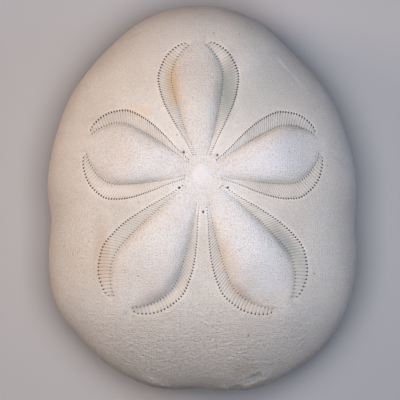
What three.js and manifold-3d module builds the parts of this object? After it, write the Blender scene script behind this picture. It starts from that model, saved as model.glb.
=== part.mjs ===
// A sea biscuit, the thick, swollen kind of sand dollar: the dry shell of one animal, grown in one piece.
// It lies on its flat mouth side. +Z is up, +Y is the animal's front and the origin is the centre of its base.
// Lengths are in millimetres. Azimuths are in degrees round the apex, clockwise from the front seen from above.
import * as THREE from "three";
import { mergeVertices } from "three/addons/utils/BufferGeometryUtils.js";
import Module from "manifold-3d";

// The outline seen from above: its radius round the apex, every 12 degrees from the front.
const MARGIN_RADII = [
  55.7, 55.0, 52.8, 50.2, 49.6, 49.6, 49.6, 50.4, 51.8, 53.6,
  59.6, 65.6, 70.3, 72.8, 73.8, 71.9, 73.4, 71.8, 68.8, 65.8,
  59.5, 53.2, 52.2, 51.1, 50.6, 51.0, 51.3, 52.3, 54.2, 55.5,
];
const MARGIN_STEP = 360 / MARGIN_RADII.length;

// The section from the apex over the widest point to the mouth. Shares are of the margin radius.
const APEX_HEIGHT = 51;
const WIDEST_HEIGHT = 17;
const DOME_SHOULDER = 2.15; // 2 is an ellipse, and more is a fuller dome
const REST_OUTER_SHARE = 0.83; // the flat ring that the shell rests on
const REST_INNER_SHARE = 0.73;
const MOUTH_HOLLOW_DEPTH = 13;
const MOUTH_RADIUS = 5;
const MOUTH_PIT_DEPTH = 8;
const FOOD_GROOVE_DEPTH = 0.9;

// Each petal's axis and reach, and its half width on the side before and after the axis, going clockwise.
const PETALS = [
  { azimuth: -2, reach: 44, before: 13.9, after: 13.6 },
  { azimuth: 75.4, reach: 40.2, before: 13.5, after: 15.9 },
  { azimuth: 148.3, reach: 52.2, before: 15.4, after: 15.3 },
  { azimuth: 212, reach: 52, before: 15.6, after: 15.5 },
  { azimuth: 284.6, reach: 40.2, before: 16.1, after: 13.5 },
];
// The two pore rows on each side of a petal, as shares of its reach along it and of its half width across it.
const OUTER_ROW = [[0.13, 0.24], [0.25, 0.41], [0.38, 0.64], [0.52, 0.86], [0.64, 0.975],
  [0.74, 1], [0.85, 0.87], [0.91, 0.73], [0.955, 0.56], [0.98, 0.42], [0.988, 0.3]];
const INNER_ROW = [[0.13, 0.19], [0.26, 0.34], [0.42, 0.48], [0.57, 0.61], [0.68, 0.68],
  [0.76, 0.67], [0.84, 0.58], [0.9, 0.45], [0.94, 0.31], [0.955, 0.2]];
const PORE_PAIRS = 50; // along each row
const PORE_SPREAD = 0.26; // how much wider apart the pores stand at the tip than on average
const LIP_WIDTH = 1.3; // outside the outer row
const FLOOR_START = 8.2; // where the plain areas between the petals begin, from the apex
const FLOOR_REACH = 0.92; // where they end, as a share of the margin radius
const FLOOR_LEAD = 0.5; // how far their middle line runs ahead of the pore rows on the way

// Relief above and below the dome.
const PETAL_RISE = 2.7;
const BAND_SINK = 1.2; // the pore bands at their inner row
const GROOVE_DEPTH = 0.5; // the furrow that joins the two pores of a pair, at its middle
const BUTTON = { radius: 3.1, rise: 0.45 }; // the sieve plate on the apex
const GENITAL_PORE = { radius: 0.42, depth: 1.5 };
const GENITAL_PORES = [[37, 7.8], [118.5, 9.4], [180, 12.5], [240.6, 9.2], [322.4, 9.8]]; // azimuth, distance
const VENT = { radius: 2.7, depth: 5, fromMargin: 9.5 }; // the hole under the back margin

// How finely the skin is cut.
const PLAIN_STEPS = 13; // along a petal, on the lines between the pore rows
const SHOULDER_RINGS = 7;
const CAP_RADII = [0.72, 0.5, 0.38, 0.2]; // shares of the ring where the petals start

const radians = THREE.MathUtils.degToRad;
const mix = THREE.MathUtils.lerp;
const smooth = (x, low, high) => THREE.MathUtils.smoothstep(x, low, high);

function marginRadius(azimuth) {
  const place = THREE.MathUtils.euclideanModulo(azimuth, 360) / MARGIN_STEP;
  const at = Math.floor(place);
  const t = place - at;
  const radius = (n) => MARGIN_RADII[(at + n + MARGIN_RADII.length) % MARGIN_RADII.length];
  const [a, b, c, d] = [radius(-1), radius(0), radius(1), radius(2)];
  return b + 0.5 * t * (c - a + t * (2 * a - 5 * b + 4 * c - d + t * (3 * (b - c) + d - a)));
}

// A place in plan, from the apex: x to the animal's right, y to its front.
const plan = (azimuth, radius) =>
  new THREE.Vector2(Math.sin(radians(azimuth)), Math.cos(radians(azimuth))).multiplyScalar(radius);
const azimuthOf = (p) => THREE.MathUtils.radToDeg(Math.atan2(p.x, p.y));
const shareOf = (p) => p.length() / marginRadius(azimuthOf(p));

// A place on the way from one to another. The way bends outwards, to keep clear of a petal's round tip.
function inBetween(p, q, t, bend) {
  const turn = THREE.MathUtils.euclideanModulo(azimuthOf(q) - azimuthOf(p) + 180, 360) - 180;
  const azimuth = azimuthOf(p) + turn * t;
  const share = mix(shareOf(p), shareOf(q), t + bend * t * (1 - t));
  return plan(azimuth, share * marginRadius(azimuth));
}

function domeHeight(share) {
  const fall = 1 - Math.min(share, 1) ** DOME_SHOULDER;
  return WIDEST_HEIGHT + (APEX_HEIGHT - WIDEST_HEIGHT) * fall ** (1 / DOME_SHOULDER);
}

// Pores stand a little wider apart towards the tip, so equal steps of index aren't equal lengths.
const alongRow = (u) => u * (1 - PORE_SPREAD) + PORE_SPREAD * u * u;

// A pore row in plan: along the petal's axis by shares of its reach, across it by shares of its half width.
function rowCurve(petal, side, row) {
  const halfWidth = side < 0 ? petal.before : petal.after;
  return new THREE.SplineCurve(row.map(([along, across]) =>
    plan(petal.azimuth, along * petal.reach).add(plan(petal.azimuth + 90, across * halfWidth * side))));
}

const riseAt = (u) => PETAL_RISE * mix(0.1, 1, smooth(u, 0, 0.5)) * mix(1, 0.12, smooth(u, 0.62, 1));
const sinkAt = (u) => BAND_SINK * mix(0.15, 1, smooth(u, 0, 0.5)) * (1 - smooth(u, 0.84, 1));

// The swollen middle of a petal is plump, and falls steeply to the inner row at share 1.
const humpLift = (u, share) => (riseAt(u) + sinkAt(u)) * (1 - share ** 2.5) ** 0.8 - sinkAt(u);

// The azimuth half way between a petal and the next one on that side.
function betweenPetals(index, side) {
  const count = PETALS.length;
  const next = PETALS[(index + side + count) % count].azimuth;
  const turn = THREE.MathUtils.euclideanModulo((next - PETALS[index].azimuth) * side, 360);
  return PETALS[index].azimuth + (side * turn) / 2;
}

// The lines that run from the apex over a petal's half to the margin. Each gives its place in plan and its lift
// above the dome at u, which is 0 where the petal starts and 1 at its tip, and where it meets the margin.
function halfPetalLines(index, side) {
  const petal = PETALS[index];
  const between = betweenPetals(index, side);
  const halfTurn = between - petal.azimuth;
  const innerRow = rowCurve(petal, side, INNER_ROW);
  const outerRow = rowCurve(petal, side, OUTER_ROW);
  const inner = (u) => innerRow.getPointAt(alongRow(u));
  const outer = (u) => outerRow.getPointAt(alongRow(u));
  const [start, end] = [INNER_ROW[0][0], INNER_ROW.at(-1)[0]];
  const middle = (u) => plan(petal.azimuth, mix(start, end, alongRow(u)) * petal.reach);
  const floorReach = FLOOR_REACH * marginRadius(between);
  const floor = (u) => {
    const t = alongRow(u);
    return plan(between, mix(FLOOR_START, floorReach, t + FLOOR_LEAD * t * t * (1 - t)));
  };
  const groove = (u) => (Math.round(u * PORE_PAIRS * 2) % 2 ? -GROOVE_DEPTH : 0);
  const lip = (u) => {
    const room = Math.abs(outer(u).cross(plan(between, 1)));
    const run = outerRow.getTangentAt(alongRow(u));
    const outwards = new THREE.Vector2(run.y, -run.x).multiplyScalar(side);
    const aside = plan(petal.azimuth + 90, side);
    const away = outwards.lerp(aside, 0.5 * smooth(u, 0.85, 1));
    return outer(u).add(away.setLength(Math.min(LIP_WIDTH, room / 3)));
  };
  const line = (share, place, lift, steps = PLAIN_STEPS) => ({
    rim: petal.azimuth + halfTurn * share, place, lift, steps,
  });
  const hump = (rimShare, share) =>
    line(rimShare, (u) => middle(u).lerp(inner(u), share), (u) => humpLift(u, share));
  const band = (u) => inner(u).lerp(outer(u), 0.5);
  const plain = (rimShare, share) =>
    line(rimShare, (u) => inBetween(lip(u), floor(u), share, smooth(u, 0.4, 0.8)), () => 0);
  return {
    middle: hump(0, 0),
    side: [
      hump(0.08, 0.45),
      hump(0.16, 0.8),
      line(0.24, inner, (u) => -sinkAt(u), PORE_PAIRS),
      line(0.31, band, (u) => groove(u) - 0.5 * sinkAt(u), 2 * PORE_PAIRS),
      line(0.38, outer, () => 0, PORE_PAIRS),
      line(0.5, lip, () => 0, 2 * PLAIN_STEPS),
      plain(0.75, 0.5),
    ],
    between: plain(1, 1),
  };
}

function skinLines() {
  return PETALS.flatMap((_, index) => {
    const before = halfPetalLines(index, -1);
    const after = halfPetalLines(index, 1);
    return [...before.side.reverse(), before.middle, ...after.side, after.between];
  });
}

// A point of the skin on the upper side, from its place in plan and its lift.
const onDome = (p, lift) => new THREE.Vector3(p.x, p.y, domeHeight(shareOf(p)) + lift);

// From the tips out to the widest point, in even steps down the dome's curve.
function shoulderPoints(line) {
  const start = line.place(1);
  const startAzimuth = azimuthOf(start);
  const turn = THREE.MathUtils.euclideanModulo(line.rim - startAzimuth + 180, 360) - 180;
  const startSlope = Math.asin(Math.min(shareOf(start), 1));
  return Array.from({ length: SHOULDER_RINGS }, (_, k) => {
    const t = (k + 1) / SHOULDER_RINGS;
    const share = Math.sin(mix(startSlope, Math.PI / 2, t));
    const azimuth = startAzimuth + turn * smooth(t, 0, 1);
    return onDome(plan(azimuth, share * marginRadius(azimuth)), line.lift(1) * (1 - smooth(t, 0, 0.4)));
  });
}

// From the widest point under the margin, across the flat ring and up the hollow into the mouth.
function undersidePoints(line) {
  const margin = marginRadius(line.rim);
  const grooved = PETALS.some((petal) => Math.abs(petal.azimuth - line.rim) < 1e-6);
  const cut = grooved ? FOOD_GROOVE_DEPTH : 0;
  const at = (radius, height) => new THREE.Vector3(...plan(line.rim, radius).toArray(), height);
  const tuck = [0.25, 0.5, 0.75].map((t) => {
    const turn = (t * Math.PI) / 2;
    const share = mix(REST_OUTER_SHARE, 1, Math.cos(turn));
    return at(share * margin, WIDEST_HEIGHT * (1 - Math.sin(turn)));
  });
  const rest = [REST_OUTER_SHARE, (REST_OUTER_SHARE + REST_INNER_SHARE) / 2, REST_INNER_SHARE]
    .map((share) => at(share * margin, cut));
  const hollow = [0.16, 0.32, 0.5, 0.68, 0.84, 1].map((t) => {
    const radius = mix(REST_INNER_SHARE * margin, MOUTH_RADIUS, t);
    return at(radius, MOUTH_HOLLOW_DEPTH * smooth(t, -0.12, 1.05) + cut * (1 - smooth(t, 0.8, 1)));
  });
  const pit = at(MOUTH_RADIUS * 0.8, MOUTH_HOLLOW_DEPTH + MOUTH_PIT_DEPTH);
  return [...tuck, ...rest, ...hollow, pit];
}

function capPoints(line) {
  const start = line.place(0);
  return CAP_RADII.map((share) => {
    const p = start.clone().multiplyScalar(share);
    const button = BUTTON.rise * (1 - smooth(p.length(), BUTTON.radius * 0.75, BUTTON.radius));
    return onDome(p, line.lift(0) * smooth(share, 0.4, 1) + button);
  });
}

// Joins two lines of points by triangles, stepping along whichever is further behind.
function zip(indices, left, right) {
  let a = 0;
  let b = 0;
  while (a < left.length - 1 || b < right.length - 1) {
    const leftNext = (a + 1) / (left.length - 1);
    const rightNext = (b + 1) / (right.length - 1);
    if (b === right.length - 1 || (a < left.length - 1 && leftNext <= rightNext)) {
      indices.push(left[a], left[a + 1], right[b]);
      a += 1;
    } else {
      indices.push(left[a], right[b + 1], right[b]);
      b += 1;
    }
  }
}

// Joins two lines that start at different distances from the apex, by the shorter of each two diagonals.
function zipShort(indices, left, right, gap) {
  let a = 0;
  let b = 0;
  while (a < left.length - 1 || b < right.length - 1) {
    const forward = a < left.length - 1 ? gap(left[a + 1], right[b]) : Infinity;
    const across = b < right.length - 1 ? gap(left[a], right[b + 1]) : Infinity;
    if (forward <= across) {
      indices.push(left[a], left[a + 1], right[b]);
      a += 1;
    } else {
      indices.push(left[a], right[b + 1], right[b]);
      b += 1;
    }
  }
}

function skinGeometry() {
  const positions = [];
  const indices = [];
  const add = (point) => positions.push(...point.toArray()) / 3 - 1;
  const pointAt = (index) => new THREE.Vector3().fromArray(positions, 3 * index);
  const gap = (i, j) => pointAt(i).distanceTo(pointAt(j));
  const apex = add(onDome(new THREE.Vector2(), BUTTON.rise));
  const columns = skinLines().map((line) => ({
    cap: capPoints(line).reverse().map(add),
    petal: Array.from({ length: line.steps + 1 }, (_, k) => {
      const u = k / line.steps;
      return add(onDome(line.place(u), line.lift(u)));
    }),
    below: [...shoulderPoints(line), ...undersidePoints(line)].map(add),
  }));
  const mouthTop = add(new THREE.Vector3(0, 0, MOUTH_HOLLOW_DEPTH + MOUTH_PIT_DEPTH));
  columns.forEach((column, k) => {
    const next = columns[(k + 1) % columns.length];
    indices.push(apex, column.cap[0], next.cap[0]);
    zip(indices, [...column.cap, column.petal[0]], [...next.cap, next.petal[0]]);
    zip(indices, column.petal, next.petal);
    zipShort(indices, [column.petal.at(-1), ...column.below], [next.petal.at(-1), ...next.below], gap);
    indices.push(column.below.at(-1), mouthTop, next.below.at(-1));
  });
  const geometry = new THREE.BufferGeometry();
  geometry.setAttribute("position", new THREE.Float32BufferAttribute(positions, 3));
  geometry.setIndex(indices.reverse());
  return geometry;
}

// A small round pit: a tapered plug whose wide end is at the top of the part given, or at the bottom if turned.
function plug(radius, depth, sides, position, fromBelow) {
  const ends = fromBelow ? [radius * 0.6, radius] : [radius, radius * 0.6];
  const geometry = new THREE.CylinderGeometry(...ends, 2 * depth, sides);
  return geometry.rotateX(Math.PI / 2).translate(position.x, position.y, position.z);
}

function pitGeometries() {
  const pores = GENITAL_PORES.map(([azimuth, distance]) =>
    plug(GENITAL_PORE.radius, GENITAL_PORE.depth, 8, onDome(plan(azimuth, distance), 0), false));
  const ventPlace = plan(180, marginRadius(180) - VENT.fromMargin);
  const vent = plug(VENT.radius, VENT.depth, 16, new THREE.Vector3(ventPlace.x, ventPlace.y, 0), true);
  return [...pores, vent];
}

const wasm = await Module();
wasm.setup();

function toSolid(geometry) {
  geometry.deleteAttribute("normal");
  geometry.deleteAttribute("uv");
  const merged = mergeVertices(geometry, 1e-4);
  return new wasm.Manifold(new wasm.Mesh({
    numProp: 3,
    vertProperties: merged.attributes.position.array,
    triVerts: new Uint32Array(merged.index.array),
  }));
}

function toGeometry(solid) {
  const mesh = solid.getMesh();
  const geometry = new THREE.BufferGeometry();
  geometry.setAttribute("position", new THREE.BufferAttribute(mesh.vertProperties, mesh.numProp));
  geometry.setIndex(new THREE.BufferAttribute(mesh.triVerts, 1));
  geometry.computeVertexNormals();
  return geometry;
}

function shellGeometry() {
  const carved = pitGeometries().reduce((solid, pit) => solid.subtract(toSolid(pit)), toSolid(skinGeometry()));
  const geometry = toGeometry(carved);
  geometry.computeBoundingBox();
  const { min, max } = geometry.boundingBox;
  return geometry.translate(-(min.x + max.x) / 2, -(min.y + max.y) / 2, -min.z);
}

const chalk = new THREE.MeshStandardMaterial({ color: 0xd9cfc2, roughness: 0.85, metalness: 0 });
const shell = new THREE.Mesh(shellGeometry(), chalk);
shell.name = "sand_dollar_shell";

const sandDollar = new THREE.Group();
sandDollar.add(shell);

export default sandDollar;
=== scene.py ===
import math

import bmesh
import bpy
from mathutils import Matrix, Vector, noise


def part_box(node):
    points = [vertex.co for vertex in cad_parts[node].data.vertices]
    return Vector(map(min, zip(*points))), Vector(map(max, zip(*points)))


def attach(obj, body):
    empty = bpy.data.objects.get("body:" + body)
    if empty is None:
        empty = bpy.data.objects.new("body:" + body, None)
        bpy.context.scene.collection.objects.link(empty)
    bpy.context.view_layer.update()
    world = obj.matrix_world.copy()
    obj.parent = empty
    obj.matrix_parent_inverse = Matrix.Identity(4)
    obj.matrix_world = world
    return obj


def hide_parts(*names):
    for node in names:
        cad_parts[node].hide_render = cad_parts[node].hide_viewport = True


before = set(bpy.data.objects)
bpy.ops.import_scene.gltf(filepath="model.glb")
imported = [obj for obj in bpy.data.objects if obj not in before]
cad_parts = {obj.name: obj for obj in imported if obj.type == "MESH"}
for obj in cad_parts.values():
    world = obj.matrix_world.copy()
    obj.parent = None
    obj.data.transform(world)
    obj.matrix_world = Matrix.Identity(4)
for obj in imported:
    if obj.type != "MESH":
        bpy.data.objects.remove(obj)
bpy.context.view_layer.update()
millimetre = 0.001

# The shell: lengths in mm, azimuths in degrees round the apex, clockwise from the front as seen from above
shell = {
    "marginRadii": [  # outline seen from above, every 12 degrees
        55.7, 55.0, 52.8, 50.2, 49.6, 49.6, 49.6, 50.4, 51.8, 53.6,
        59.6, 65.6, 70.3, 72.8, 73.8, 71.9, 73.4, 71.8, 68.8, 65.8,
        59.5, 53.2, 52.2, 51.1, 50.6, 51.0, 51.3, 52.3, 54.2, 55.5],
    "apexHeight": 51.0,
    "widestHeight": 17.0,
    "domeShoulder": 2.15,  # 2 is an ellipse, more is fuller
    "restOuterShare": 0.83,  # the flat ring it lies on, as shares of the margin radius
    "restInnerShare": 0.73,
    "hollowDepth": 13.0,
    "mouthRadius": 5.0,
    "mouthPitDepth": 8.0,
    "mouthPitTaper": 0.8,
    "foodGroove": {"depth": 0.9, "halfWidth": 0.9, "start": (4.6, 8), "endShare": 0.93, "fadeShare": 0.12},
    "vent": {"fromMargin": 9.5, "radius": 2.3, "depth": 4.5, "meshReach": 9.3, "meshPower": 1.8},
    "button": {"place": (-0.3, -0.5), "radius": 2.8, "rise": 0.3, "moat": 0.16},
    "genitalPores": [(39.6, 7.5), (121.1, 9.65), (179.5, 12.95), (237.4, 9.25), (317.0, 9.25)],  # azimuth, reach
    "genitalPore": {"radius": 0.36, "depth": 0.9, "meshReach": 1.3, "meshPower": 1.5},
    "frontPimples": 0.6,
    "waves": {"height": 0.3, "scale": 0.07, "fineScale": 0.16, "fineShare": 0.5},  # slow ones
    "mapWidth": 400,  # mm across the skin's flat maps
    "wornBehind": -55,  # only points behind this y are worn
    "wornSpots": [  # on the back margin: place, radius, rise
        ((-16.0, -69.0, 26.0), 2.1, 1.3), ((-12.6, -70.2, 25.0), 1.5, 0.8), ((14.8, -69.8, 25.5), 1.9, 1.3),
        ((11.4, -70.6, 24.0), 1.3, -1.2), ((17.4, -68.0, 28.5), 1.4, -1.3), ((8.5, -71.2, 24.0), 1.6, 0.9),
        ((-2.6, -72.5, 19.0), 2.8, -1.3), ((2.5, -72.3, 21.0), 1.8, 0.7), ((20.5, -67.4, 26.0), 1.7, 0.8)],
}

petals = {
    "each": [  # axis, reach, half width before and after the axis, and how full the hump is before and after
        (-2.0, 43.8, 13.5, 12.8, 1.0, 0.88),
        (75.4, 40.2, 13.0, 15.9, 0.95, 1.0),
        (148.3, 52.2, 15.1, 15.3, 1.0, 1.08),
        (212.0, 52.0, 15.6, 15.0, 1.09, 1.0),
        (284.6, 40.2, 16.1, 13.5, 1.0, 1.0)],
    "outerRow": [(0.13, 0.21), (0.25, 0.4), (0.38, 0.64), (0.52, 0.86), (0.64, 0.975), (0.74, 1.0),
                 (0.85, 0.87), (0.91, 0.73), (0.95, 0.57), (0.976, 0.42), (0.984, 0.28)],
    "innerRow": [(0.13, 0.13), (0.26, 0.31), (0.42, 0.48), (0.57, 0.61), (0.68, 0.68),
                 (0.76, 0.67), (0.84, 0.58), (0.9, 0.45), (0.945, 0.31), (0.968, 0.2)],
    "porePairs": 50,
    "missingPairs": 4,  # beside the hind genital pore, where the rows start later
    "poreSpread": 0.12,  # wider apart at the tip
    "floorStart": 8.2,  # the line between two petals, from here
    "floorReach": 0.92,  # to this share of the margin radius
    "floorLead": 0.5,  # and ahead of the rows in its middle
    "rise": 2.6,
    "sink": 1.5,
    "startShare": 0.03,  # of the rise and the sink, beside the apex
    "tipShare": 0.12,  # of the rise, at the tip
    "humpRound": (2.8, 0.64),  # a higher first power flattens its top, a lower second one steepens its side
    "floorRound": 1.6,
    "furrowDepth": 0.13,
    "outerPore": {"depth": 0.45, "along": 0.17, "across": 0.24},
    "innerPore": {"depth": 0.25, "along": 0.15, "across": 0.17},
}

mesh = {
    "ringPhases": [0, 0.24, 0.39, 0.5, 0.61, 0.76],  # the rings of each pore pair, closer at its furrow
    "capShares": [0.05, 0.11, 0.18, 0.26, 0.34, 0.42, 0.5, 0.59, 0.69, 0.79, 0.89],
    "shoulderRings": 24,
    "tuckRings": 12,
    "restRings": 3,
    "hollowRings": 16,
    "pitRings": 6,
    "humpShares": [0, 0.2, 0.38, 0.54, 0.68, 0.8, 0.89, 0.96, 1],  # from the petal's axis to its inner row
    "bandShares": [0.08, 0.2, 0.34, 0.48, 0.62, 0.75, 0.86, 0.94, 1],  # from the inner row to the outer row
    "lipSteps": [(0.3, 0.1), (0.7, 0.2), (1.4, 0.32)],  # past the outer row, in mm, at most this share of the room
    "plainShares": [0.12, 0.26, 0.42, 0.6, 0.8, 1],  # on to the line between two petals
    "tipRimShare": 0.34,  # how much of the margin the lines from a petal's tip spread over
    "ventCrowding": 0.08,  # how much closer together the lines stand behind
    "trackSteps": 200,  # for measuring along a row of pores
}


def smooth(x, low, high):
    t = min(max((x - low) / (high - low), 0), 1)
    return t * t * (3 - 2 * t)


def mix(a, b, t):
    return a + (b - a) * t


def spline(a, b, c, d, t):
    return b + 0.5 * t * (c - a + t * (2 * a - 5 * b + 4 * c - d + t * (3 * (b - c) + d - a)))


def marginRadius(azimuth):
    radii = shell["marginRadii"]
    place = (azimuth % 360) / 360 * len(radii)
    k = int(place)
    return spline(*(radii[(k + n) % len(radii)] for n in (-1, 0, 1, 2)), place - k)


def plan(azimuth, radius):
    return Vector((math.sin(math.radians(azimuth)), math.cos(math.radians(azimuth)))) * radius


def azimuthOf(place):
    return math.degrees(math.atan2(place.x, place.y))


def shareOf(place):
    return place.length / marginRadius(azimuthOf(place))


# A place on the way from one to another, bent outwards to keep clear of a petal's round tip
def inBetween(p, q, t, bend):
    turn = (azimuthOf(q) - azimuthOf(p) + 180) % 360 - 180
    azimuth = azimuthOf(p) + turn * t
    share = mix(shareOf(p), shareOf(q), t + bend * t * (1 - t))
    return plan(azimuth, share * marginRadius(azimuth))


def domeHeight(share):
    power = shell["domeShoulder"]
    fall = (1 - min(share, 1) ** power) ** (1 / power)
    return mix(shell["widestHeight"], shell["apexHeight"], fall)


# The pores of a row stand wider apart towards the petal's tip
def alongRow(u):
    return u * (1 - petals["poreSpread"]) + petals["poreSpread"] * u ** 4


def pairAt(step):
    phases = mesh["ringPhases"]
    return step // len(phases) + phases[step % len(phases)]


# The line between two petals runs ahead of their rows, which bend round the tips
def ahead(t):
    return t + petals["floorLead"] * t * t * (1 - t)


def rowPlaces(points, steps):
    last = len(points) - 1

    def at(t):
        k = min(int(t * last), last - 1)
        return spline(*(points[min(max(k + n, 0), last)] for n in (-1, 0, 1, 2)), t * last - k)

    fine = mesh["trackSteps"]
    track = [at(k / fine) for k in range(fine + 1)]
    reach = [0]
    for a, b in zip(track, track[1:]):
        reach.append(reach[-1] + (b - a).length)
    places = []
    k = 0
    for step in range(steps + 1):
        goal = alongRow(pairAt(step) / petals["porePairs"]) * reach[-1]
        while k < fine - 1 and reach[k + 1] < goal:
            k += 1
        places.append(at((k + (goal - reach[k]) / (reach[k + 1] - reach[k])) / fine))
    return places


# The way out of a row at each of its places, in plan, turned towards the side at the petal's tip
def outwards(places, aside, side):
    ways = []
    last = len(places) - 1
    for k in range(last + 1):
        run = places[min(k + 1, last)] - places[max(k - 1, 0)]
        way = Vector((run.y, -run.x)).normalized() * side
        ways.append(way.lerp(aside, 0.5 * smooth(k / last, 0.85, 1)).normalized())
    return ways


def halfPetals(steps):
    halves = []
    start, end = petals["innerRow"][0][0], petals["innerRow"][-1][0]
    along = [alongRow(pairAt(k) / petals["porePairs"]) for k in range(steps + 1)]
    for number, (azimuth, reach, before, after, fullBefore, fullAfter) in enumerate(petals["each"]):
        for side, halfWidth, full in ((-1, before, fullBefore), (1, after, fullAfter)):
            nextAzimuth = petals["each"][(number + side) % 5][0]
            between = azimuth + side * ((nextAzimuth - azimuth) * side % 360) / 2
            floorEnd = petals["floorReach"] * marginRadius(between)

            def rowOf(shares, width):
                points = [plan(azimuth, a * reach) + plan(azimuth + 90, t * width * side) for a, t in shares]
                return rowPlaces(points, steps)

            outer = rowOf(petals["outerRow"], halfWidth)
            halves.append({
                "azimuth": azimuth,
                "halfTurn": between - azimuth,
                "firstPair": petals["missingPairs"] if abs(between - 180) < 10 else 0,
                "middle": [plan(azimuth, mix(start, end, t) * reach) for t in along],
                "inner": rowOf(petals["innerRow"], halfWidth * full),
                "outer": outer,
                "outwards": outwards(outer, plan(azimuth + 90, side), side),
                "floor": [plan(between, mix(petals["floorStart"], floorEnd, ahead(t))) for t in along],
            })
    return halves


def riseAt(u):
    fromStart = mix(petals["startShare"], 1, smooth(u, 0, 0.6))
    return petals["rise"] * fromStart * mix(1, petals["tipShare"], smooth(u, 0.62, 1))


def sinkAt(u):
    return petals["sink"] * mix(petals["startShare"], 1, smooth(u, 0, 0.5)) * (1 - smooth(u, 0.84, 1))


def humpLift(u, share):
    top, side = petals["humpRound"]
    return (riseAt(u) + sinkAt(u)) * (1 - share ** top) ** side - sinkAt(u)


def pit(pore, along, across):
    return pore["depth"] * math.exp(-(along / pore["along"]) ** 2 - (across / pore["across"]) ** 2)


# The furrow of each pore pair, with its two pores
def furrowDepth(pair, pitch, width, fromInner):
    phase = pair % 1 - 0.5
    along = phase * pitch
    within = smooth(fromInner, -0.25, 0.3) * smooth(width - fromInner, -0.2, 0.2)
    furrow = petals["furrowDepth"] * min(1, width / 1.6) * within * math.exp(-(phase / 0.11) ** 2)
    pits = pit(petals["outerPore"], along, fromInner - width) + pit(petals["innerPore"], along, fromInner)
    return furrow + pits * mix(0.3, 1, smooth(pair, 0, 14))


# The tubercles between the petals are fainter in front
def plainStrength(place):
    return mix(1, shell["frontPimples"], smooth(place.y, -25, 15))


# A point's place in the rows: the pore pair, and mm out from the inner and from the outer row
beforeRows = Vector((-4, -4, -4))
pastRows = Vector((90, 0, 0))


# One point of the skin: where it stands, how far it is lifted off the dome, its place in the rows, how far apart
# the pore pairs are there, and how strong its tubercles are
def skinInPetal(half, step, column, steps):
    middle, inner, outer, floor = (half[name][step] for name in ("middle", "inner", "outer", "floor"))
    pair = pairAt(step)
    u = pair / petals["porePairs"]
    width = (outer - inner).length
    near, far = max(step - 3, 0), min(step + 3, steps)
    pitch = (half["outer"][far] - half["outer"][near]).length / (pairAt(far) - pairAt(near))
    humpCount = len(mesh["humpShares"]) - 1
    bandCount = len(mesh["bandShares"])
    if column <= humpCount:
        share = mesh["humpShares"][column]
        place = middle.lerp(inner, share)
        fromInner = -(inner - place).length
        lift = humpLift(u, share)
        pimples = 1 - smooth(share, 0.93, 1)
    elif column <= humpCount + bandCount:
        share = mesh["bandShares"][column - humpCount - 1]
        place = inner.lerp(outer, share)
        fromInner = share * width
        lift = -sinkAt(u) * (1 - share) ** petals["floorRound"]
        pimples = 1 - smooth(pair, 0.4, 1.6)
    else:
        room = abs(outer.cross(floor.normalized()))
        lip = [min(reach, room * most) for reach, most in mesh["lipSteps"]]
        beyond = column - humpCount - bandCount - 1
        place = outer + half["outwards"][step] * lip[min(beyond, len(lip) - 1)]
        if beyond >= len(lip):
            place = inBetween(place, floor, mesh["plainShares"][beyond - len(lip)], smooth(u, 0.4, 0.8))
        reach = (place - outer).length
        fromInner = width + reach
        lift = 0
        pimples = max(smooth(reach, 0.3, 1.4) * plainStrength(place), 1 - smooth(pair, 0.4, 1.6))
    if pair < half["firstPair"]:
        return place, lift, Vector((beforeRows.x, fromInner, fromInner - width)), pitch, 1
    lift -= furrowDepth(pair, pitch, width, fromInner)
    return place, lift, Vector((pair, fromInner, fromInner - width)), pitch, pimples


def buttonLift(place):
    button = shell["button"]
    edge = (place - Vector(button["place"])).length / button["radius"]
    moat = button["moat"] * math.exp(-((edge - 1.1) / 0.12) ** 2)
    return button["rise"] * (1 - smooth(edge, 0.72, 1.02)) - moat


def genitalPit(place):
    pore = shell["genitalPore"]
    depth = 0
    for azimuth, reach in shell["genitalPores"]:
        away = (place - plan(azimuth, reach)).length / pore["radius"]
        depth += pore["depth"] * math.exp(-away ** 4)
    return depth


def waveAt(place):
    waves = shell["waves"]
    slow = noise.noise(Vector((place.x, place.y, 3)) * waves["scale"])
    quick = noise.noise(Vector((place.x, place.y, 9)) * waves["fineScale"])
    return waves["height"] * (slow + waves["fineShare"] * quick)


# Draws the mesh together round a small hole, so that the hole has enough faces
def drawnTogether(place, centre, reach, power):
    away = place - centre
    if away.length >= reach:
        return place
    return centre + away * (away.length / reach) ** (power - 1)


# Knobs, pits and the dent worn into the back margin, moved outwards and up
def worn(point):
    if point.y > shell["wornBehind"]:
        return point
    shift = Vector((0, 0, 0))
    for spot, radius, rise in shell["wornSpots"]:
        away = (point - Vector(spot)).length / radius
        shift += Vector((spot[0] * 0.01, -0.8, 0.6)) * rise * math.exp(-away ** 2)
    return point + shift


def topPoint(place, lift):
    pore = shell["genitalPore"]
    for azimuth, reach in shell["genitalPores"]:
        place = drawnTogether(place, plan(azimuth, reach), pore["meshReach"], pore["meshPower"])
    height = domeHeight(shareOf(place)) + lift + waveAt(place)
    height += buttonLift(place) - genitalPit(place)
    return worn(Vector((place.x, place.y, height)))


# Where a line meets the margin, as a share of the turn from a petal's axis to the line between two petals.
# Behind, the lines are spread so that enough of them meet the vent
def rimShare(column, atVent):
    tipColumns = len(mesh["humpShares"] + mesh["bandShares"] + mesh["lipSteps"]) - 1
    if atVent:
        t = column / (tipColumns + len(mesh["plainShares"]))
        return t - mesh["ventCrowding"] * math.sin(2 * math.pi * t)
    if column <= tipColumns:
        return mesh["tipRimShare"] * column / tipColumns
    return mix(mesh["tipRimShare"], 1, mesh["plainShares"][column - tipColumns - 1])


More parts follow.
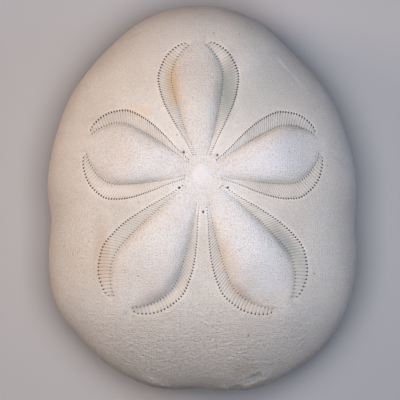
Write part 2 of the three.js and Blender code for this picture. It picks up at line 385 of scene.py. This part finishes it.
def shoulderPoint(start, rim, lift, t):
    startAzimuth = azimuthOf(start)
    turn = (rim - startAzimuth + 180) % 360 - 180
    slope = mix(math.asin(min(shareOf(start), 1)), math.pi / 2, t)
    azimuth = startAzimuth + turn * smooth(t, 0, 1)
    return topPoint(plan(azimuth, math.sin(slope) * marginRadius(azimuth)), lift * (1 - smooth(t, 0, 0.4)))


def foodGroove(azimuth, radius, margin):
    groove = shell["foodGroove"]
    nearest = min(abs((azimuth - petal[0] + 180) % 360 - 180) for petal in petals["each"])
    aside = radius * math.sin(math.radians(nearest))
    ends = 1 - smooth(radius / margin, groove["endShare"] - groove["fadeShare"], groove["endShare"])
    ends *= smooth(radius, *groove["start"])
    return groove["depth"] * ends * math.exp(-(aside / groove["halfWidth"]) ** 2)


# The margin's tuck, the flat ring it rests on and the hollow
def undersideHeight(radius, margin):
    outer = shell["restOuterShare"] * margin
    inner = shell["restInnerShare"] * margin
    if radius > outer:
        out = min((radius - outer) / (margin - outer), 1)
        return shell["widestHeight"] * (1 - math.sqrt(1 - out * out))
    t = max(inner - radius, 0) / (inner - shell["mouthRadius"])
    return shell["hollowDepth"] * smooth(t, -0.12, 1.05) * smooth(t, 0, 0.14)


def undersideProfile(margin):
    outer = shell["restOuterShare"] * margin
    inner = shell["restInnerShare"] * margin
    mouth = shell["mouthRadius"]
    profile = []
    for k in range(1, mesh["tuckRings"] + 1):
        turn = k / mesh["tuckRings"] * math.pi / 2
        radius = mix(outer, margin, math.cos(turn))
        profile.append((radius, undersideHeight(radius, margin)))
    for k in range(1, mesh["restRings"] + 1):
        profile.append((mix(outer, inner, k / mesh["restRings"]), 0))
    for k in range(1, mesh["hollowRings"] + 1):
        radius = mix(inner, mouth, k / mesh["hollowRings"])
        profile.append((radius, undersideHeight(radius, margin)))
    for k in range(1, mesh["pitRings"] + 1):
        t = k / mesh["pitRings"]
        radius = mouth * mix(1, shell["mouthPitTaper"], smooth(t, 0, 0.5))
        profile.append((radius, shell["hollowDepth"] + shell["mouthPitDepth"] * t))
    return profile


def undersidePoint(azimuth, radius, height, margin):
    vent = shell["vent"]
    ventPlace = plan(180, marginRadius(180) - vent["fromMargin"])
    place = drawnTogether(plan(azimuth, radius), ventPlace, vent["meshReach"], vent["meshPower"])
    if (place - ventPlace).length < vent["meshReach"]:
        height = undersideHeight(place.length, marginRadius(azimuthOf(place)))
    hole = vent["depth"] * math.exp(-((place - ventPlace).length / vent["radius"]) ** 4)
    return Vector((place.x, place.y, height + foodGroove(azimuth, radius, margin) + hole))


def undersideLine(rim):
    margin = marginRadius(rim)
    mouth = shell["mouthRadius"]
    line = []
    for radius, height in undersideProfile(margin):
        pimples = smooth(radius, mouth, mouth + 1)
        line.append((undersidePoint(rim, radius, height, margin), pastRows, 1, pimples))
    line.append((Vector((0, 0, shell["hollowDepth"] + shell["mouthPitDepth"])), pastRows, 1, 0))
    return line


# A line of the skin, from the apex out over the margin and back under to the mouth
def skinLine(half, column, steps):
    button = shell["button"]
    start, startLift, _, _, startPimples = skinInPetal(half, 0, column, steps)
    line = [(Vector((0, 0, shell["apexHeight"] + button["rise"])), beforeRows, 1, 0)]
    for share in mesh["capShares"]:
        place = start * share
        pimples = startPimples * smooth((place - Vector(button["place"])).length, 2.4, 3.3)
        line.append((topPoint(place, startLift * smooth(share, 0.4, 1)), beforeRows, 1, pimples))
    for step in range(steps + 1):
        place, lift, row, pitch, pimples = skinInPetal(half, step, column, steps)
        line.append((topPoint(place, lift), row, pitch, pimples))
    rim = half["azimuth"] + half["halfTurn"] * rimShare(column, half["firstPair"] > 0)
    for k in range(1, mesh["shoulderRings"] + 1):
        t = k / mesh["shoulderRings"]
        point = shoulderPoint(place, rim, lift, t)
        around = mix(pimples, plainStrength(point), smooth(t, 0, 0.1))
        line.append((point, Vector((row.x + 0.5 + 8 * t, row.y, row.z)), pitch, around))
    return line + undersideLine(rim)


def shellSkin():
    steps = petals["porePairs"] * len(mesh["ringPhases"])
    halves = halfPetals(steps)
    columns = len(mesh["humpShares"] + mesh["bandShares"] + mesh["lipSteps"] + mesh["plainShares"]) - 1
    lines = []
    for petal in range(len(petals["each"])):
        for side in range(-columns, columns):
            half = halves[2 * petal + (0 if side < 0 else 1)]
            lines.append(skinLine(half, abs(side), steps))
    return lines


def fitToBox(lines, box):
    points = [entry[0] for line in lines for entry in line]
    for axis in range(3):
        low = min(p[axis] for p in points)
        high = max(p[axis] for p in points)
        size = (box[1][axis] - box[0][axis]) / (high - low)
        for line in lines:
            for entry in line:
                entry[0][axis] = box[0][axis] + (entry[0][axis] - low) * size


# Lengths over the smooth dome from the apex out to each share of the margin radius, for a middling width
def domeLengths(fine=400, radius=58):
    lengths = [0]
    for k in range(1, fine + 1):
        drop = domeHeight((k - 1) / fine) - domeHeight(k / fine)
        lengths.append(lengths[-1] + math.hypot(radius / fine, drop))
    return [length / radius for length in lengths]


# The skin's two flat maps, round the apex and round the mouth, keep lengths along every line from the middle
def skinMap(place, apex, lengths, top):
    away = Vector((place.x - apex.x, place.y - apex.y)) / millimetre
    margin = marginRadius(azimuthOf(away))
    if top:
        share = min(away.length / margin, 1) * (len(lengths) - 1)
        k = min(int(share), len(lengths) - 2)
        stretch = mix(lengths[k], lengths[k + 1], share - k) * margin
    else:
        stretch = away.length + 0.5 * place.z / millimetre
    flat = away.normalized() * stretch / shell["mapWidth"] if away.length > 1e-6 else away
    return (0.25 + flat.x, 0.5 + flat.y) if top else (0.75 + flat.x, 0.5 + flat.y)


def makeShell():
    lines = shellSkin()
    fitToBox(lines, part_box("sand_dollar_shell"))
    ringCount = len(lines[0]) - 1
    petalRings = petals["porePairs"] * len(mesh["ringPhases"]) + 1
    marginRing = len(mesh["capShares"]) + petalRings + mesh["shoulderRings"]
    apex = lines[0][0][0]
    lengths = domeLengths()
    bm = bmesh.new()
    bmesh.ops.create_uvsphere(bm, u_segments=len(lines), v_segments=ringCount, radius=1)
    rowLayer = bm.verts.layers.float_vector.new("rowPlace")
    pitchLayer = bm.verts.layers.float.new("porePitch")
    pimpleLayer = bm.verts.layers.float.new("pimples")
    skinLayer = bm.loops.layers.uv.new("skin")
    seat = {}
    for vert in bm.verts:
        ring = round(math.atan2(math.hypot(vert.co.x, vert.co.y), vert.co.z) / math.pi * ringCount)
        column = round(math.atan2(vert.co.x, vert.co.y) / (2 * math.pi) * len(lines)) % len(lines)
        seat[vert] = (column, ring)
    for vert, (column, ring) in seat.items():
        vert.co, vert[rowLayer], vert[pitchLayer], vert[pimpleLayer] = lines[column][ring]
    for face in bm.faces:
        face.smooth = True
        top = min(seat[vert][1] for vert in face.verts) < marginRing
        for loop in face.loops:
            loop[skinLayer].uv = skinMap(loop.vert.co, apex, lengths, top)
    data = bpy.data.meshes.new("sandDollarShell")
    bm.to_mesh(data)
    bm.free()
    piece = bpy.data.objects.new("sandDollarShell", data)
    bpy.context.collection.objects.link(piece)
    print("shell made:", len(data.vertices), "vertices,", len(data.polygons), "faces")
    return piece, apex


# Node making: sockets and plain numbers can both be given as inputs
def addNode(tree, kind, inputs=(), **settings):
    made = tree.nodes.new("ShaderNode" + kind)
    for name, value in settings.items():
        setattr(made, name, value)
    for name, value in dict(inputs).items():
        if isinstance(value, bpy.types.NodeSocket):
            tree.links.new(value, made.inputs[name])
        else:
            made.inputs[name].default_value = value
    return made


def maths(tree, operation, *values):
    return addNode(tree, "Math", dict(enumerate(values)), operation=operation).outputs[0]


def ramp(tree, value, low, high, start=0.0, end=1.0):
    inputs = {"Value": value, "From Min": low, "From Max": high, "To Min": start, "To Max": end}
    return addNode(tree, "MapRange", inputs, interpolation_type="SMOOTHSTEP").outputs["Result"]


def blend(tree, amount, under, over):
    made = addNode(tree, "Mix", data_type="RGBA")
    for name, value in ((0, amount), (6, under), (7, over)):
        if isinstance(value, bpy.types.NodeSocket):
            tree.links.new(value, made.inputs[name])
        else:
            made.inputs[name].default_value = value if name == 0 else (*value[:3], 1)
    return made.outputs[2]


# The chalk: colours, then how strongly each marking shows and how many mm each pattern stands up in the bump
chalk = {
    "cream": (0.685, 0.62, 0.545),
    "paleCream": (0.755, 0.705, 0.645),
    "petalWhite": (0.87, 0.845, 0.835),
    "petalPink": (0.83, 0.76, 0.72),
    "greyCream": (0.58, 0.55, 0.515),
    "tan": (0.74, 0.63, 0.51),
    # painted shade: the near-black inside of the pore holes
    "pore": (0.03, 0.024, 0.02),
    # painted shade: the furrows between pore pairs, the hump's foot and the pits of the rear
    "furrow": (0.36, 0.32, 0.275),
    # painted shade: the sunken bands a little darker than the ground
    "bandShade": (0.62, 0.575, 0.53),
    "speck": (0.3, 0.26, 0.23),
    "button": (0.76, 0.73, 0.735),
    # the tubercles' own pale colour, also used as painted light on the rear's bumps
    "boss": (0.92, 0.90, 0.87),
    "rear": (0.95, 0.88, 0.82),
    "dot": (0.40, 0.37, 0.35),
    "bossSpacing": 0.78,  # mm
    "roughness": 0.82,
    "specular": 0.3,
    "showing": {
        "tanPatches": 0.35,
        "greyBlotches": 0.4,
        "greyMottles": 0.32,
        "paleMottles": 0.45,
        "rearPitShade": 0.14,
        "rearBumpLight": 0.5,
        "rearWash": 0.62,
        "bandFloorShade": 0.6,
        "humpFootShade": 0.25,
        "bosses": 0.4,
        "dots": 0.48,
        "rearDots": 0.25,
        "betweenGrains": 0.2,
        "specks": 0.6,
        "furrows": 0.42,
        "innerPores": 0.72,
        "outerPores": 0.95,
        "button": 0.75,
    },
    "standing": {"boss": 0.12, "grain": 0.03, "dot": -0.06, "fine": 0.06, "mottle": 0.12, "furrow": -0.06,
                 "pore": -0.2, "rearRipple": 1.7},
}

# Patches on the upper side, stains and, as named, patches of painted shade and painted light: centre and half
# sizes in mm seen from above, turn in degrees, colour, strength, raggedness
stainsAndPaintedLight = {
    "ochreOnFrontRow": ((-9.9, 38.0), (3.0, 9.0), 4, (0.66, 0.48, 0.26), 0.7, 0.5),
    "ochreAbove": ((-10.6, 46.5), (1.6, 4.5), -25, (0.64, 0.46, 0.27), 0.35, 0.6),
    # a brown stain on the front hump's right flank, partly painted shade of that flank
    "brownStainAndShadeFrontFlank": ((4.6, 35.3), (1.4, 5.5), 0, (0.45, 0.33, 0.22), 0.4, 0.6),
    # a greenish stain in the front petal's right band, darkened further as painted shadow cast by its hump
    "greenGreyStainAndShadowBand": ((8.7, 37.0), (3.4, 13.5), -2, (0.37, 0.39, 0.36), 0.8, 0.3),
    # painted shadow: the hump's cast shadow over the right-hand band of the lower right petal
    "paintedShadowBandRight": ((27.3, -14.6), (10.5, 3.2), -53, (0.40, 0.40, 0.385), 0.88, 0.3),
    # painted shade: the upper band of the upper right petal, sloping away from the light
    "paintedShadeBandUpperRight": ((31.0, 24.4), (7.5, 2.4), -24, (0.42, 0.41, 0.40), 0.5, 0.3),
    # painted shadow: the hump's cast shadow over the inner band of the lower left petal
    "paintedShadowBandLowerLeft": ((-9.6, -27.2), (8.5, 2.6), 52, (0.40, 0.38, 0.37), 0.4, 0.3),
    # painted shadow: the same band of the lower left petal near its tip
    "paintedShadowBandTip": ((-17.8, -33.8), (7.5, 2.6), 27, (0.34, 0.31, 0.29), 0.42, 0.3),
    "brownBandTip": ((12.2, -31.2), (8.0, 3.0), -42, (0.55, 0.45, 0.37), 0.45, 0.4),
    "pinkBandBack": ((6.4, -20.0), (2.2, 8.0), -16, (0.76, 0.62, 0.56), 0.35, 0.4),
    # painted cool light: bluish-white on the humps of the two right-hand petals, where the cool lamp on the right
    # falls
    "paintedCoolLightRightHump": ((19.0, -20.0), (8.0, 16.0), 33, (0.88, 0.88, 0.93), 0.5, 0.6),
    "paintedCoolLightUpperHump": ((24.0, 13.0), (14.0, 7.0), 14, (0.86, 0.87, 0.93), 0.45, 0.6),
    "blushUpperLeft": ((-20.6, 29.0), (4.6, 2.8), -20, (0.80, 0.56, 0.36), 0.4, 0.8),
    "tanLowerLeftBand": ((-33.3, -19.0), (3.6, 14.0), 0, (0.57, 0.42, 0.30), 0.65, 0.5),
    # painted shadow: the outer band of the lower right petal, in its hump's shade
    "paintedShadowBandLowRight": ((32.6, -24.0), (2.8, 9.0), 0, (0.46, 0.46, 0.45), 0.58, 0.4),
    # a tan tint on the upper band of the upper left petal, darkened further as painted shade
    "tanAndShadeBandUpperLeft": ((-30.5, 26.6), (9.0, 2.6), 12, (0.50, 0.44, 0.39), 0.48, 0.5),
    "paleBandLowerLeft": ((-29.0, 2.2), (10.0, 2.5), 0, (0.84, 0.75, 0.69), 0.42, 0.4),
    "pinkGreyFront": ((-14.0, 53.0), (20.0, 8.0), 25, (0.70, 0.655, 0.635), 0.4, 0.8),
    "tanLowLeft": ((-40.5, -22.0), (5.0, 17.0), -6, (0.74, 0.60, 0.46), 0.2, 0.9),
    "tanLowRight": ((13.4, -56.0), (5.5, 3.6), 15, (0.62, 0.50, 0.38), 0.5, 0.9),
    "tanByRightPetal": ((9.0, -20.0), (3.4, 8.0), 20, (0.78, 0.62, 0.47), 0.3, 0.8),
    "greyRightFloor": ((23.0, -5.5), (11.0, 3.2), -20, (0.60, 0.595, 0.58), 0.3, 0.7),
    "greyUpperRight": ((20.0, 34.0), (12.0, 14.0), -30, (0.49, 0.49, 0.47), 0.5, 1.0),
    # painted shade: the right flank a little greyer and cooler, as lit only by the cool lamp
    "paintedShadeRightFlank": ((45.0, 2.0), (5.0, 24.0), 4, (0.55, 0.56, 0.57), 0.04, 0.9),
    "greyBack": ((0.0, -52.0), (38.0, 12.0), 0, (0.58, 0.545, 0.51), 0.1, 0.9),
    "greyLowRight": ((34.0, -38.0), (7.0, 14.0), -40, (0.56, 0.56, 0.57), 0.28, 0.9),
    "pinkLowerLeft": ((-17.5, -30.5), (3.0, 8.5), -28, (0.78, 0.62, 0.59), 0.22, 0.6),
    "pinkUpperRight": ((20.0, 17.0), (8.0, 1.6), 38, (0.77, 0.64, 0.62), 0.25, 0.5),
    "creaseFront": ((-22.6, 54.0), (2.9, 0.35), 27, (0.45, 0.42, 0.39), 0.5, 0.3),
    "speckRight": ((36.9, -25.0), (0.45, 0.4), 0, (0.08, 0.06, 0.05), 0.8, 0.2),
    "speckLow": ((15.2, -45.3), (0.4, 0.45), 0, (0.08, 0.06, 0.05), 0.85, 0.2),
    "speckFront": ((3.8, 54.6), (0.4, 0.4), 0, (0.12, 0.09, 0.07), 0.6, 0.2),
    "paleStreakA": ((26.5, 44.5), (0.6, 5.0), 42, (0.93, 0.91, 0.89), 0.5, 0.5),
    "paleStreakB": ((31.5, 39.0), (0.5, 4.0), 38, (0.93, 0.91, 0.89), 0.45, 0.5),
}


# Where the pores, the furrows between them, the bands' floor and the humps are
def rowMasks(tree):
    rowPlace = addNode(tree, "Attribute", attribute_name="rowPlace").outputs["Vector"]
    pair, fromInner, fromOuter = addNode(tree, "SeparateXYZ", {0: rowPlace}).outputs
    pitch = addNode(tree, "Attribute", attribute_name="porePitch").outputs["Fac"]
    along = maths(tree, "MULTIPLY", maths(tree, "SUBTRACT", maths(tree, "FRACT", pair), 0.5), pitch)
    lastPair = petals["porePairs"]
    inPetal = maths(tree, "MULTIPLY", ramp(tree, pair, 0, 0.1), ramp(tree, pair, lastPair, lastPair + 0.2, 1, 0))
    grown = ramp(tree, pair, 0, 34, 0.75, 1.2)  # the pores are finer near the apex

    def spot(across, centre, halfAlong, halfAcross):
        a = maths(tree, "POWER", maths(tree, "DIVIDE", along, halfAlong), 2)
        offset = maths(tree, "SUBTRACT", across, centre)
        b = maths(tree, "POWER", maths(tree, "DIVIDE", offset, halfAcross), 2)
        away = maths(tree, "DIVIDE", maths(tree, "SQRT", maths(tree, "ADD", a, b)), grown)
        return maths(tree, "MULTIPLY", inPetal, ramp(tree, away, 0.6, 1.25, 1, 0))

    outerPore = spot(fromOuter, 0.02, 0.19, 0.25)
    innerPore = spot(fromInner, 0.03, 0.15, 0.18)
    pastInner = ramp(tree, fromInner, -0.2, 0.15)
    inBand = maths(tree, "MULTIPLY", pastInner, ramp(tree, fromOuter, -0.1, 0.3, 1, 0))
    inBand = maths(tree, "MULTIPLY", inBand, inPetal)
    furrow = maths(tree, "MULTIPLY", inBand, ramp(tree, maths(tree, "ABSOLUTE", along), 0.03, 0.16, 1, 0))
    # the band beside the hump's foot, where the painted shade is deepest
    foot = maths(tree, "MULTIPLY", inBand, ramp(tree, fromInner, 0.1, 1.8, 1, 0))
    beforeEnd = ramp(tree, pair, lastPair, lastPair + 3.5, 1, 0)
    hump = maths(tree, "MULTIPLY", ramp(tree, fromInner, -2.4, 0.1, 1, 0), beforeEnd)
    # the painted shade of the bands follows their depth
    deep = ramp(tree, pair, 5, 26)  # the bands are shallow near the apex
    return outerPore, innerPore, furrow, inBand, foot, hump, deep


# Colours one patch, soft and ragged at its edge, on the upper side only; used for the stains, the button, the
# patches of painted shade and light, and the painted shade in the genital pores
def stainAndShadePatch(tree, colour, place, ragged, upper, spot):
    (x, y), (halfX, halfY), turn, over, strength, raggedness = spot
    inputs = {"Vector": place, "Location": (x, y, 0), "Rotation": (0, 0, math.radians(turn)),
              "Scale": (halfX, halfY, 1e6)}
    moved = addNode(tree, "Mapping", inputs, vector_type="TEXTURE").outputs["Vector"]
    distance = addNode(tree, "VectorMath", {0: moved}, operation="LENGTH").outputs["Value"]
    distance = maths(tree, "ADD", distance, maths(tree, "MULTIPLY", ragged, 0.9 * raggedness))
    mask = maths(tree, "MULTIPLY", ramp(tree, distance, 0.25, 1.15, 1, 0), strength)
    return blend(tree, maths(tree, "MULTIPLY", mask, upper), colour, over)


# The tubercles: pale bosses, dark dots among them and a finer grain between
def bossMasks(tree):
    skin = addNode(tree, "UVMap", uv_map="skin").outputs["UV"]
    pimples = addNode(tree, "Attribute", attribute_name="pimples").outputs["Fac"]
    cells = shell["mapWidth"] / chalk["bossSpacing"]

    def spread(scale, randomness):
        inputs = {"Vector": skin, "Scale": scale, "Randomness": randomness}
        return addNode(tree, "TexVoronoi", inputs, voronoi_dimensions="2D", feature="F1").outputs

    main = spread(cells, 0.72)
    each = addNode(tree, "SeparateXYZ", {0: main["Color"]}).outputs["X"]
    boss = maths(tree, "MULTIPLY", ramp(tree, main["Distance"], 0.1, 0.36, 1, 0), pimples)
    dot = ramp(tree, spread(cells * 0.92, 0.85)["Distance"], 0.1, 0.36, 1, 0)
    dot = maths(tree, "MULTIPLY", maths(tree, "MULTIPLY", dot, pimples), ramp(tree, each, 0.0, 0.8, 0.35, 1))
    grain = ramp(tree, spread(cells * 2.3, 0.9)["Distance"], 0.1, 0.5, 1, 0)
    return boss, dot, grain, pimples


def makeChalk(apex):
    material = bpy.data.materials.new("seaBiscuitChalk")
    material.use_nodes = True
    tree = material.node_tree
    shader = tree.nodes["Principled BSDF"]
    onPiece = addNode(tree, "TexCoord").outputs["Object"]
    toMillimetres = (1 / millimetre,) * 3
    place = addNode(tree, "Mapping", {"Vector": onPiece, "Scale": toMillimetres}).outputs["Vector"]
    x, y, height = addNode(tree, "SeparateXYZ", {0: place}).outputs
    upper = ramp(tree, height, 10, 17)
    rear = maths(tree, "MULTIPLY", ramp(tree, y, -56, -24, 1, 0), upper)
    centre = Vector((apex.x, apex.y, 0)) / millimetre
    fromCentre = {"Vector": place, "Location": -centre, "Scale": (1, 1, 0)}
    flat = addNode(tree, "Mapping", fromCentre).outputs["Vector"]
    fromApex = addNode(tree, "VectorMath", {0: flat}, operation="LENGTH").outputs["Value"]
    outerPore, innerPore, furrow, inBand, foot, hump, deep = rowMasks(tree)
    boss, dot, grain, pimples = bossMasks(tree)

    def noiseAt(scale, detail, roughness, where=place):
        inputs = {"Vector": where, "Scale": scale, "Detail": detail, "Roughness": roughness}
        return addNode(tree, "TexNoise", inputs).outputs["Fac"]

    def times(a, b):
        return maths(tree, "MULTIPLY", a, b)

    def tint(colour, amount, over, marking):
        return blend(tree, times(amount, chalk["showing"][marking]), colour, chalk[over])

    slow = noiseAt(0.045, 4, 0.6)
    blotch = noiseAt(0.2, 6, 0.68)
    warm = noiseAt(0.085, 5, 0.7)
    mottle = noiseAt(0.9, 5, 0.7)
    fine = noiseAt(3.2, 4, 0.7)
    ragged = maths(tree, "SUBTRACT", noiseAt(0.55, 5, 0.7), 0.5)
    wide = addNode(tree, "Mapping", {"Vector": place, "Scale": (0.7, 1.0, 0.75)}).outputs["Vector"]
    ripple = noiseAt(1.0, 5, 0.74, wide)

    # The cream ground, and the white of the humps and of the middle: the shell's own white, with its fade outward
    # from the apex partly painted light on the middle, which faces the lamps
    colour = blend(tree, ramp(tree, slow, 0.35, 0.65), chalk["cream"], chalk["paleCream"])
    colour = tint(colour, ramp(tree, warm, 0.5, 0.72), "tan", "tanPatches")
    whiteness = times(ramp(tree, fromApex, 6, 46, 0.88, 0.5), ramp(tree, y, 17, 36, 1, 0.22))
    white = maths(tree, "MAXIMUM", times(hump, whiteness), ramp(tree, fromApex, 4, 26, 0.85, 0))
    petalColour = blend(tree, ramp(tree, warm, 0.42, 0.62), chalk["petalWhite"], chalk["petalPink"])
    colour = blend(tree, white, colour, petalColour)
    buttonPlace = centre.xy + Vector(shell["button"]["place"])
    button = (buttonPlace, (3.4, 3.4), 0, chalk["button"], chalk["showing"]["button"], 0.2)
    colour = stainAndShadePatch(tree, colour, place, ragged, upper, button)

    # Mottling, fainter on the white, and the rougher rear
    plain = maths(tree, "SUBTRACT", 1, times(white, 0.75))
    colour = tint(colour, times(ramp(tree, blotch, 0.48, 0.7), plain), "greyCream", "greyBlotches")
    colour = tint(colour, times(ramp(tree, mottle, 0.48, 0.7), plain), "greyCream", "greyMottles")
    colour = tint(colour, times(ramp(tree, mottle, 0.28, 0.45, 1, 0), plain), "boss", "paleMottles")
    # painted shade in the low places and painted light on the high places of the rear's rippled relief, which the
    # bump also carries
    colour = tint(colour, times(ramp(tree, ripple, 0.32, 0.5, 1, 0), rear), "furrow", "rearPitShade")
    colour = tint(colour, times(ramp(tree, ripple, 0.5, 0.66), rear), "boss", "rearBumpLight")
    colour = tint(colour, rear, "rear", "rearWash")

    # The bands with their painted shade, the stains with the patches of painted shade and light, and the grain
    # painted shade: the sunken bands darker, darker still at the hump's foot, fainter near the apex where they are
    # shallow
    colour = tint(colour, times(inBand, deep), "bandShade", "bandFloorShade")
    colour = tint(colour, times(foot, deep), "furrow", "humpFootShade")
    for spot in stainsAndPaintedLight.values():
        colour = stainAndShadePatch(tree, colour, place, ragged, upper, spot)
    colour = tint(colour, boss, "boss", "bosses")
    colour = tint(colour, dot, "dot", "dots")
    colour = tint(colour, times(dot, rear), "dot", "rearDots")
    colour = tint(colour, times(ramp(tree, grain, 0, 1, 1, 0), pimples), "dot", "betweenGrains")
    specks = addNode(tree, "TexVoronoi", {"Vector": place, "Scale": 0.24}).outputs
    chosen = ramp(tree, addNode(tree, "SeparateXYZ", {0: specks["Color"]}).outputs["X"], 0.55, 0.9)
    colour = tint(colour, times(chosen, ramp(tree, specks["Distance"], 0.04, 0.1, 1, 0)), "speck", "specks")

    # The furrows and every kind of pore, painted dark as the shade in these hollows
    colour = tint(colour, times(furrow, ramp(tree, blotch, 0.4, 0.62, 0.3, 1)), "furrow", "furrows")
    # painted shade: a black dot in each genital pore, and below in each pore of the rows
    for azimuth, reach in shell["genitalPores"]:
        size = shell["genitalPore"]["radius"] * 1.25
        hole = (centre.xy + plan(azimuth, reach), (size, size), 0, chalk["pore"], 1, 0)
        colour = stainAndShadePatch(tree, colour, place, ragged, upper, hole)
    colour = tint(colour, innerPore, "pore", "innerPores")
    colour = tint(colour, outerPore, "pore", "outerPores")
    tree.links.new(colour, shader.inputs["Base Color"])

    patterns = {"grain": grain, "dot": dot, "fine": fine, "mottle": mottle, "furrow": furrow,
                "pore": maths(tree, "MAXIMUM", outerPore, innerPore), "rearRipple": times(ripple, rear)}
    relief = times(boss, chalk["standing"]["boss"])
    for name, pattern in patterns.items():
        relief = maths(tree, "ADD", relief, times(pattern, chalk["standing"][name]))
    bump = addNode(tree, "Bump", {"Height": relief, "Strength": 1.0, "Distance": millimetre})
    tree.links.new(bump.outputs["Normal"], shader.inputs["Normal"])
    shader.inputs["Roughness"].default_value = chalk["roughness"]
    shader.inputs["Specular IOR Level"].default_value = chalk["specular"]
    print("chalk made")
    return material


studio = {
    "floorColour": (0.46, 0.455, 0.465),
    "floorHalfSize": 1.5,
    "floorRoughness": 0.9,
    "worldColour": (0.9, 0.93, 1.0),
    "worldStrength": 0.02,
    "lights": [  # name, place, size, watts, colour
        ("overhead", (0.0, 0.0, 0.4), 0.25, 1.33, (0.98, 0.97, 1.0)),
        ("warmLeft", (-0.62, 0.22, 0.35), 0.25, 2.13, (1.0, 0.72, 0.55)),
        ("coolRight", (0.65, 0.1, 0.35), 0.25, 0.95, (0.32, 0.56, 1.0)),
    ],
    "lightsAimAt": (0, 0, 0.02),
    "cameraPlace": (-0.00083, -0.0006, 2.4),
    "photoWidth": 0.13352,  # what the picture spans at the widest part of the shell
}


def makeStudio():
    bm = bmesh.new()
    bmesh.ops.create_grid(bm, x_segments=1, y_segments=1, size=studio["floorHalfSize"])
    data = bpy.data.meshes.new("floor")
    bm.to_mesh(data)
    bm.free()
    floor = bpy.data.objects.new("floor", data)
    bpy.context.collection.objects.link(floor)
    paper = bpy.data.materials.new("palePaper")
    paper.use_nodes = True
    paint = paper.node_tree.nodes["Principled BSDF"].inputs
    paint["Base Color"].default_value = (*studio["floorColour"], 1)
    paint["Roughness"].default_value = studio["floorRoughness"]
    data.materials.append(paper)
    world = bpy.data.worlds.new("studio")
    world.use_nodes = True
    sky = world.node_tree.nodes["Background"].inputs
    sky["Color"].default_value = (*studio["worldColour"], 1)
    sky["Strength"].default_value = studio["worldStrength"]
    bpy.context.scene.world = world
    bpy.context.scene.view_settings.view_transform = "Standard"
    for name, place, size, watts, colour in studio["lights"]:
        lamp = bpy.data.lights.new(name, "AREA")
        lamp.size = size
        lamp.energy = watts
        lamp.color = colour
        holder = bpy.data.objects.new(name, lamp)
        holder.location = place
        aim = Vector(studio["lightsAimAt"]) - Vector(place)
        holder.rotation_euler = aim.to_track_quat("-Z", "Y").to_euler()
        bpy.context.collection.objects.link(holder)
    print("studio made")


def makeCamera():
    lens = bpy.data.cameras.new("camera")
    distance = studio["cameraPlace"][2] - shell["widestHeight"] * millimetre
    lens.lens = lens.sensor_width * distance / studio["photoWidth"]
    lens.clip_end = 20
    camera = bpy.data.objects.new("camera", lens)
    camera.location = studio["cameraPlace"]
    bpy.context.collection.objects.link(camera)
    bpy.context.scene.camera = camera
    print("camera made")


piece, apex = makeShell()
piece.data.materials.append(makeChalk(apex))
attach(piece, "root")
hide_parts("sand_dollar_shell")
makeStudio()
makeCamera()
